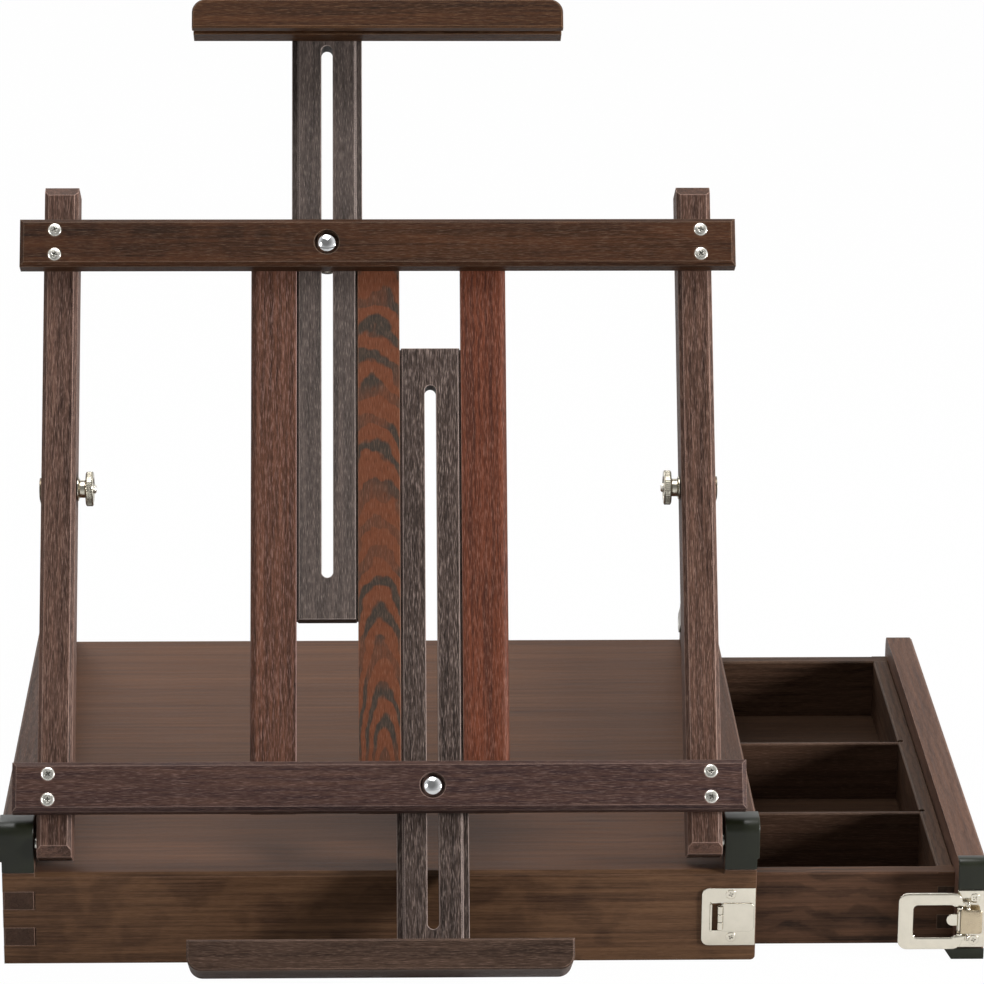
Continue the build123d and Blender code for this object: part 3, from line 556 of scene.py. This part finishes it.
def turned(name, profile, sides=40, bored=False):
    """A ring of edges drawn along a lathe profile of (height, radius) in mm, then closed."""
    bpy.ops.object.select_all(action="DESELECT")
    height, radius = profile[0]
    bpy.ops.mesh.primitive_circle_add(
        vertices=sides, radius=radius * MM, location=(0, 0, height * MM)
    )
    piece = bpy.context.object
    piece.name = name
    bpy.ops.object.transform_apply(location=True, rotation=True, scale=True)
    bpy.ops.object.mode_set(mode="EDIT")
    bpy.ops.mesh.select_mode(type="EDGE")
    bpy.ops.mesh.select_all(action="SELECT")
    for next_height, next_radius in profile[1:]:
        bpy.ops.mesh.extrude_edges_indiv()
        share = next_radius / radius
        bpy.ops.transform.resize(value=(share, share, 1), center_override=(0, 0, 0))
        bpy.ops.transform.translate(value=(0, 0, (next_height - height) * MM))
        height, radius = next_height, next_radius
    bpy.ops.mesh.select_all(action="DESELECT")
    bpy.ops.mesh.select_non_manifold(extend=False)
    if bored:
        bpy.ops.mesh.bridge_edge_loops()
    else:
        bpy.ops.mesh.edge_face_add()
    bpy.ops.mesh.select_all(action="SELECT")
    bpy.ops.mesh.normals_make_consistent(inside=False)
    bpy.ops.object.mode_set(mode="OBJECT")
    return piece


def pick(piece, wanted):
    """In edit mode, select the faces whose middle in mm and normal pass a test."""
    bpy.ops.mesh.select_mode(type="FACE")
    bpy.ops.mesh.select_all(action="DESELECT")
    bpy.ops.object.mode_set(mode="OBJECT")
    for face in piece.data.polygons:
        face.select = wanted(face.center / MM, face.normal)
    bpy.ops.object.mode_set(mode="EDIT")


def fit_copy(pattern, name, place, body, finish):
    """A copy of a finished pattern piece with its own mesh, placed and riding on a body."""
    piece = pattern.copy()
    piece.data = pattern.data.copy()
    piece.name = name
    bpy.context.scene.collection.objects.link(piece)
    piece.matrix_world = place
    only(piece)
    bpy.ops.object.transform_apply(location=True, rotation=True, scale=True)
    bpy.ops.object.shade_smooth_by_angle(angle=math.radians(32))
    piece.data.materials.clear()
    piece.data.materials.append(finish)
    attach(piece, body)
    return piece


def on_frame(x, up, out, axis="Z", turn=0):
    """A place on the leaning frame in mm, the piece turned about its axis in degrees."""
    return (
        FRAME_AXES
        @ Matrix.Translation(Vector((x, up, out)) * MM)
        @ Matrix.Rotation(math.radians(turn), 4, axis)
    )


# Countersunk cross-head screw, 7 mm across, its raised head standing 0.4 mm proud
screw = turned(
    "screw_pattern",
    [
        (-2.4, 2.0), (-2.2, 2.1), (-0.25, 3.4), (0.0, 3.5),
        (0.14, 3.3), (0.3, 2.5), (0.4, 1.4), (0.42, 0.5),
    ],
    sides=32,
)
for turn in (0, 90):
    bpy.ops.object.select_all(action="DESELECT")
    bpy.ops.mesh.primitive_cube_add(size=MM)
    wing = bpy.context.object
    bpy.ops.object.mode_set(mode="EDIT")
    bpy.ops.mesh.select_all(action="SELECT")
    bpy.ops.transform.resize(value=(4.0, 0.9, 2.2), center_override=(0, 0, 0))
    pick(wing, lambda middle, normal: normal.z < -0.5)
    bpy.ops.transform.resize(value=(0.35, 0.55, 1), center_override=(0, 0, 0))
    bpy.ops.object.mode_set(mode="OBJECT")
    wing.matrix_world = Matrix.Rotation(math.radians(turn), 4, "Z")
    only(screw)
    cut = screw.modifiers.new("cross_recess", "BOOLEAN")
    cut.operation = "DIFFERENCE"
    cut.object = wing
    bpy.ops.object.modifier_apply(modifier=cut.name)
    bpy.data.objects.remove(wing)

rail_screws = []
for x in (-RAIL_SCREW_X, RAIL_SCREW_X):
    for rail_up in RAIL_UPS:
        for rise in (-RAIL_SCREW_RISE, RAIL_SCREW_RISE):
            rail_screws.append(
                fit_copy(
                    screw,
                    f"rail_screw_{len(rail_screws) + 1}",
                    on_frame(x, rail_up + rise, RAIL_FRONT, "Z", 37 * len(rail_screws)),
                    "frame",
                    zinc,
                )
            )
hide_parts("rail_screws")

# The guides are screwed to both rails, and the bars to their masts, from behind
back_screws = [
    (f"guide_screw_{count + 1}", (x + shift, up - 2 * shift, GUIDE_BACK), "frame")
    for count, (x, up, shift) in enumerate(
        (x, up, shift)
        for x in (-GUIDE_X, 0.0, GUIDE_X)
        for up in RAIL_UPS
        for shift in (-3.2, 3.2)
    )
]
for hand, side in (("left", -1), ("right", 1)):
    back_screws += [
        (f"clamp_screw_{hand}", (-MAST_X + 9 * side, 445.2, MAST_BACK), "upper_mast"),
        (f"tray_screw_{hand}", (MAST_X + 9 * side, -65.4, MAST_BACK), "lower_mast"),
    ]
for count, (name, place, body) in enumerate(back_screws):
    stop = Matrix.Rotation(0.6 * count, 4, "Z")  # every slot comes to rest at its own angle
    fit_copy(screw, name, on_frame(*place, "Y", 180) @ stop, body, zinc)

# Screws of the catch plate and the latch plate, four fifths the size of the others
PLATE_SCREWS = (
    ("catch_upper_screw", (186.4, -183.5, 38.2), 20, "case"),
    ("catch_lower_screw", (186.8, -183.5, 13.6), 65, "case"),
    ("latch_upper_screw", (316.6, -183.8, 35.4), 48, "drawer"),
    ("latch_lower_screw", (316.6, -183.8, 11.4), 12, "drawer"),
)
for name, place, turn, body in PLATE_SCREWS:
    fit_copy(
        screw,
        name,
        Matrix.Translation(Vector(place) * MM)
        @ Matrix.Rotation(math.radians(90), 4, "X")
        @ Matrix.Rotation(math.radians(turn), 4, "Z")
        @ Matrix.Diagonal((0.8, 0.8, 0.8, 1)),
        body,
        bright_nickel,
    )


def bolt(name, length, radius, thread, head):
    """A turned bolt that stands on its threaded tip, with or without a dome of (radius, rise)."""
    profile = [(0.0, radius - 0.7), (0.5, radius - 0.2)]
    rise = 0.8
    while rise < thread:
        profile += [
            (rise, radius), (rise + 0.2, radius),
            (rise + 0.5, radius - 0.35), (rise + 0.6, radius - 0.35),
        ]
        rise += 0.9
    profile += [(rise, radius), (length, radius)]
    if head:
        rim, dome = head
        ball = (rim * rim + dome * dome) / (2 * dome)
        profile += [(length, rim - 0.2), (length + 0.2, rim)]
        for step in range(1, 9):
            up = dome * step / 8
            across = math.sqrt(max(ball**2 - (ball - dome + up) ** 2, 0))
            profile.append((length + 0.2 + up, max(across, 0.25)))
    else:
        profile += [(length + 0.05, radius - 0.1)]
    return turned(name, profile)


# Domed chrome bolts that carry the masts, their heads sunk in the rails
mast_bolt = bolt("mast_bolt_pattern", 32.3, 2.8, 13, (6.1, 2.8))
mast_bolts = [
    fit_copy(mast_bolt, f"domed_bolt_{side}_mast", on_frame(x, up, BOLT_TIP), "frame", chrome)
    for side, x, up in (("upper", -MAST_X, RAIL_UPS[1]), ("lower", MAST_X, RAIL_UPS[0]))
]
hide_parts("mast_bolts")

# Threaded bolts of the stays, through the legs
stay_bolt = bolt("stay_bolt_pattern", 28.95, 2.5, 12, None)
stay_bolts = [
    fit_copy(
        stay_bolt,
        f"threaded_bolt_{side}_stay",
        on_frame(x, STAY_BOLT_UP, 0, "Y", turn),
        "frame",
        zinc,
    )
    for side, x, turn in (("left", -152.1, -90), ("right", 152.1, 90))
]
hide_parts("stay_clamp_bolts")


def thumb_nut(name, length, bore):
    """A turned nut: a flange and neck, and a disc with a straight knurl round its rim."""
    rim = length - 4.1
    nut = turned(
        name,
        [
            (0.0, bore), (0.0, 6.0), (0.3, 6.4), (1.0, 6.4), (1.4, 5.2), (1.8, 4.8),
            (rim - 0.6, 4.8), (rim - 0.2, 5.2), (rim, 5.8), (rim, 8.7), (rim + 0.5, 9.3),
            (length - 0.5, 9.3), (length, 8.7), (length, 6.6), (length - 0.5, 6.1),
            (length - 0.5, 3.6), (length - 0.9, bore),
        ],
        sides=56,
        bored=True,
    )
    bpy.ops.object.mode_set(mode="EDIT")
    pick(nut, lambda middle, normal: rim + 0.6 < middle.z < length - 0.6 and middle.xy.length > 9)
    bpy.ops.mesh.inset(use_individual=True, thickness=0.2 * MM, depth=-0.4 * MM)
    bpy.ops.object.mode_set(mode="OBJECT")
    return nut


side_nut = thumb_nut("side_nut_pattern", 9.0, 2.55)
rear_nut = thumb_nut("rear_nut_pattern", 9.5, 2.85)
NUTS = (
    (side_nut, "left_thumb_nut", (-162.6, STAY_BOLT_UP, 0.0), "Y", 90),
    (side_nut, "right_thumb_nut", (162.6, STAY_BOLT_UP, 0.0), "Y", -90),
    (rear_nut, "upper_mast_nut", (-MAST_X, RAIL_UPS[1], 1.7), "X", 180),
    (rear_nut, "lower_mast_nut", (MAST_X, RAIL_UPS[0], 1.7), "X", 180),
)
for pattern, node, place, axis, turn in NUTS:
    nut = fit_copy(pattern, f"knurled_{node}", on_frame(*place, axis, turn), node, turned_nickel)
    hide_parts(node)

# Rolled eyes of the pressed fittings, each a short tube with three knuckles
knuckle = turned(
    "knuckle_pattern",
    [
        (0.0, 0.9), (0.0, 1.4), (0.15, 1.6), (4.3, 1.6), (4.4, 1.35), (4.6, 1.35), (4.7, 1.6),
        (8.7, 1.6), (8.8, 1.35), (9.0, 1.35), (9.1, 1.6), (13.25, 1.6), (13.4, 1.4), (13.4, 0.9),
    ],
    sides=28,
    bored=True,
)
for name, place, body, finish in (
    ("lever_rolled_eye", (312.7, -186.3, 16.7), "latch_lever", satin_nickel),
    ("catch_rolled_eye", (180.7, -184.7, 18.5), "case", bright_nickel),
):
    fit_copy(knuckle, name, Matrix.Translation(Vector(place) * MM), body, finish)
for pattern in (screw, mast_bolt, stay_bolt, side_nut, rear_nut, knuckle):
    bpy.data.objects.remove(pattern)


def eased(node, body, width, shoulder):
    """A pressed or moulded piece taken over from the CAD, its sharp edges rounded by the tool.

    A shoulder raises the front by 0.35 mm inside a sloping border of that width in mm.
    """
    piece = bpy.data.objects.new(f"eased_{node}", nodes[node].data.copy())
    bpy.context.scene.collection.objects.link(piece)
    only(piece)
    bpy.ops.object.mode_set(mode="EDIT")
    bpy.ops.mesh.select_all(action="SELECT")
    bpy.ops.mesh.remove_doubles(threshold=0.002 * MM)
    bpy.ops.mesh.dissolve_limited(angle_limit=math.radians(1.5))
    if shoulder:
        pick(piece, lambda middle, normal: normal.y < -0.99)
        bpy.ops.mesh.inset(thickness=shoulder * MM, depth=0.35 * MM)
    bpy.ops.object.mode_set(mode="OBJECT")
    easing = piece.modifiers.new("eased_edges", "BEVEL")
    easing.width = width * MM
    easing.segments = 3
    easing.angle_limit = math.radians(35)
    bpy.ops.object.modifier_apply(modifier=easing.name)
    bpy.ops.object.shade_smooth_by_angle(angle=math.radians(35))
    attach(piece, body)
    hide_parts(node)


for node, body, width, shoulder in (
    ("left_corner_guard", "case", 0.45, 0),
    ("right_corner_guard", "case", 0.45, 0),
    ("face_upper_guard", "drawer", 0.45, 0),
    ("face_lower_guard", "drawer", 0.45, 0),
    ("catch_plate", "case", 0.45, 0),
    ("latch_plate", "drawer", 0.2, 0),
    ("latch_lever", "latch_lever", 0.25, 0.9),
    ("latch_loop", "latch_loop", 0.25, 1.1),
):
    eased(node, body, width, shoulder)


# Floor and surroundings

def pale_floor():
    """A matt white floor, shown to the camera as plain white with only a trace of the shadow."""
    material, tree, place = start_material("matt_white_sweep")
    speckle = add_node(
        tree, "ShaderNodeTexNoise", inputs={"Vector": place, "Scale": 1 / (3 * MM)}
    ).outputs[0]
    tone = add_node(
        tree,
        "ShaderNodeMix",
        {"data_type": "RGBA"},
        {0: speckle, 6: linear("#cfcfcf"), 7: linear("#d6d6d6")},
    ).outputs[2]
    matt = add_node(tree, "ShaderNodeBsdfDiffuse", inputs={"Color": tone})
    white = add_node(
        tree, "ShaderNodeEmission", inputs={"Color": (1, 1, 1, 1), "Strength": 1.0}
    )
    seen = add_node(tree, "ShaderNodeLightPath").outputs["Is Camera Ray"]
    share = add_node(tree, "ShaderNodeMath", {"operation": "MULTIPLY"}, {0: seen, 1: 0.985})
    mixed = add_node(
        tree,
        "ShaderNodeMixShader",
        inputs={0: share.outputs[0], 1: matt.outputs[0], 2: white.outputs[0]},
    )
    add_node(tree, "ShaderNodeOutputMaterial", inputs={"Surface": mixed.outputs[0]})
    return material


bpy.ops.object.select_all(action="DESELECT")
bpy.ops.mesh.primitive_plane_add(size=24, location=(0, 0, 0))
floor = bpy.context.object
floor.name = "floor"
floor.data.materials.append(pale_floor())

world = bpy.data.worlds.new("white_studio")
bpy.context.scene.world = world
world.use_nodes = True
room = world.node_tree
room.nodes.clear()
path = add_node(room, "ShaderNodeLightPath")
mirrored = add_node(
    room,
    "ShaderNodeMath",
    {"operation": "MAXIMUM"},
    {0: path.outputs["Is Glossy Ray"], 1: path.outputs["Is Transmission Ray"]},
).outputs[0]
# mirrors see the white walls, and a dim corner of the room high up behind the camera
heading = add_node(room, "ShaderNodeTexCoord").outputs["Generated"]
toward_corner = add_node(
    room,
    "ShaderNodeVectorMath",
    {"operation": "DOT_PRODUCT"},
    {0: heading, 1: (-0.1, -0.74, 0.66)},
).outputs["Value"]
wall = add_node(
    room, "ShaderNodeMapRange", inputs={0: toward_corner, 1: 0.55, 2: 0.92, 3: 1.0, 4: 0.25}
).outputs[0]
mirrored_wall = add_node(
    room, "ShaderNodeMath", {"operation": "MULTIPLY"}, {0: mirrored, 1: wall}
).outputs[0]
shown = add_node(
    room,
    "ShaderNodeMath",
    {"operation": "MAXIMUM"},
    {0: path.outputs["Is Camera Ray"], 1: mirrored_wall},
).outputs[0]
level = add_node(
    room, "ShaderNodeMath", {"operation": "MAXIMUM"}, {0: shown, 1: 0.12}
).outputs[0]
studio = add_node(
    room, "ShaderNodeBackground", inputs={"Color": (1, 1, 1, 1), "Strength": level}
)
add_node(room, "ShaderNodeOutputWorld", inputs={"Surface": studio.outputs[0]})
bpy.context.scene.view_settings.view_transform = "Standard"
